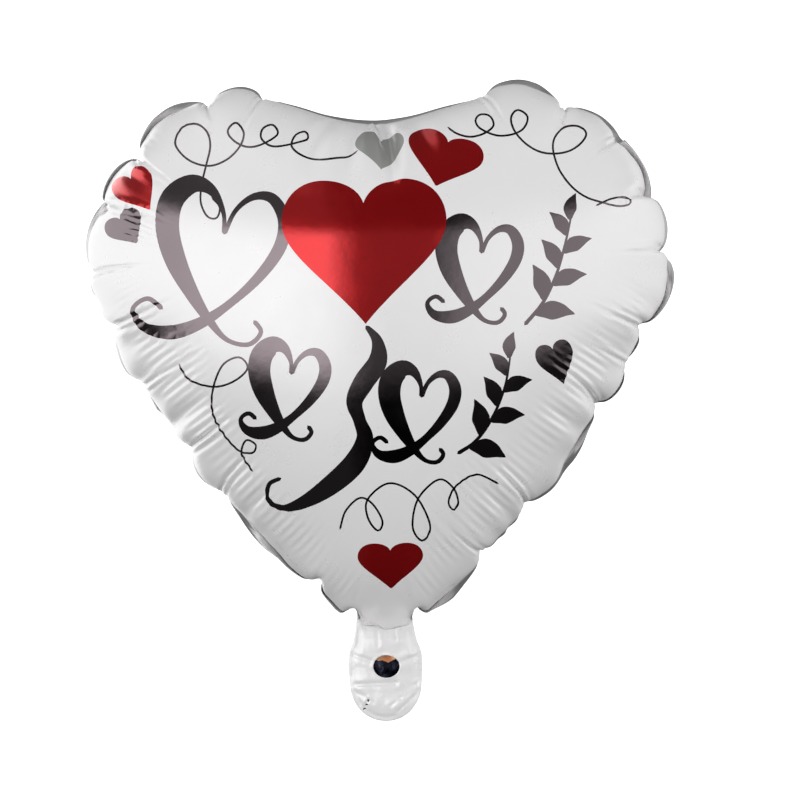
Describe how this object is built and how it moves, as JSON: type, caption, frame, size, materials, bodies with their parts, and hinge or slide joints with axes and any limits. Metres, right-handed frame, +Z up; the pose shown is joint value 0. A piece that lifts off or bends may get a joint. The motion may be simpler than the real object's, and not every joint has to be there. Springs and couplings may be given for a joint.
{
  "type": "heart-shaped foil balloon",
  "caption": "Heart-shaped foil balloon, filled and welded round its edge, with a flat inflation tail that folds at the neck and a film flap valve inside.",
  "frame": {"origin": "tie point, the middle of the crease where the inflation tail leaves the body", "axes": "+Z up through the cleft of the heart, +Y towards the back panel, +X to the right seen from the front"},
  "size_m": [0.3708, 0.1966, 0.4029],
  "materials": {
    "front_foil": "satin white metallised film with metallic red, black and silver printing",
    "back_foil": "satin white metallised film",
    "weld_margin": "unprinted metallised film, fused and slightly crinkled",
    "tail_film": "half-matt white metallised film, creased by handling",
    "valve_film": "plain milky film",
    "release_coat": "matt dark heat-proof ink"
  },
  "bodies": {
    "balloon": {"front_panel": "front_foil", "back_panel": "back_foil", "perimeter_seal": "weld_margin"},
    "tail": {"tail_front_sheet": "tail_film", "tail_back_sheet": "tail_film", "tail_seal": "weld_margin"},
    "valve_front": {"valve_front_film": "valve_film"},
    "valve_back": {"valve_back_film": "valve_film", "valve_release_coat": "release_coat"}
  },
  "joints": [
    {"name": "tail_fold", "type": "hinge", "parent": "balloon", "child": "tail", "pos_m": [0, 0, 0], "axis": [1, 0, 0], "range_deg": [-85, 85]},
    {"name": "valve_front_open", "type": "hinge", "parent": "balloon", "child": "valve_front", "pos_m": [0, 0, 0.008], "axis": [1, 0, 0], "range_deg": [0, 8], "stiffness_Nm_per_rad": 0.002},
    {"name": "valve_back_open", "type": "hinge", "parent": "balloon", "child": "valve_back", "pos_m": [0, 0, 0.008], "axis": [1, 0, 0], "range_deg": [-8, 0], "stiffness_Nm_per_rad": 0.002}
  ],
  "couplings": [
    {"joint": "valve_back_open", "follows": "valve_front_open", "ratio": -1}
  ]
}
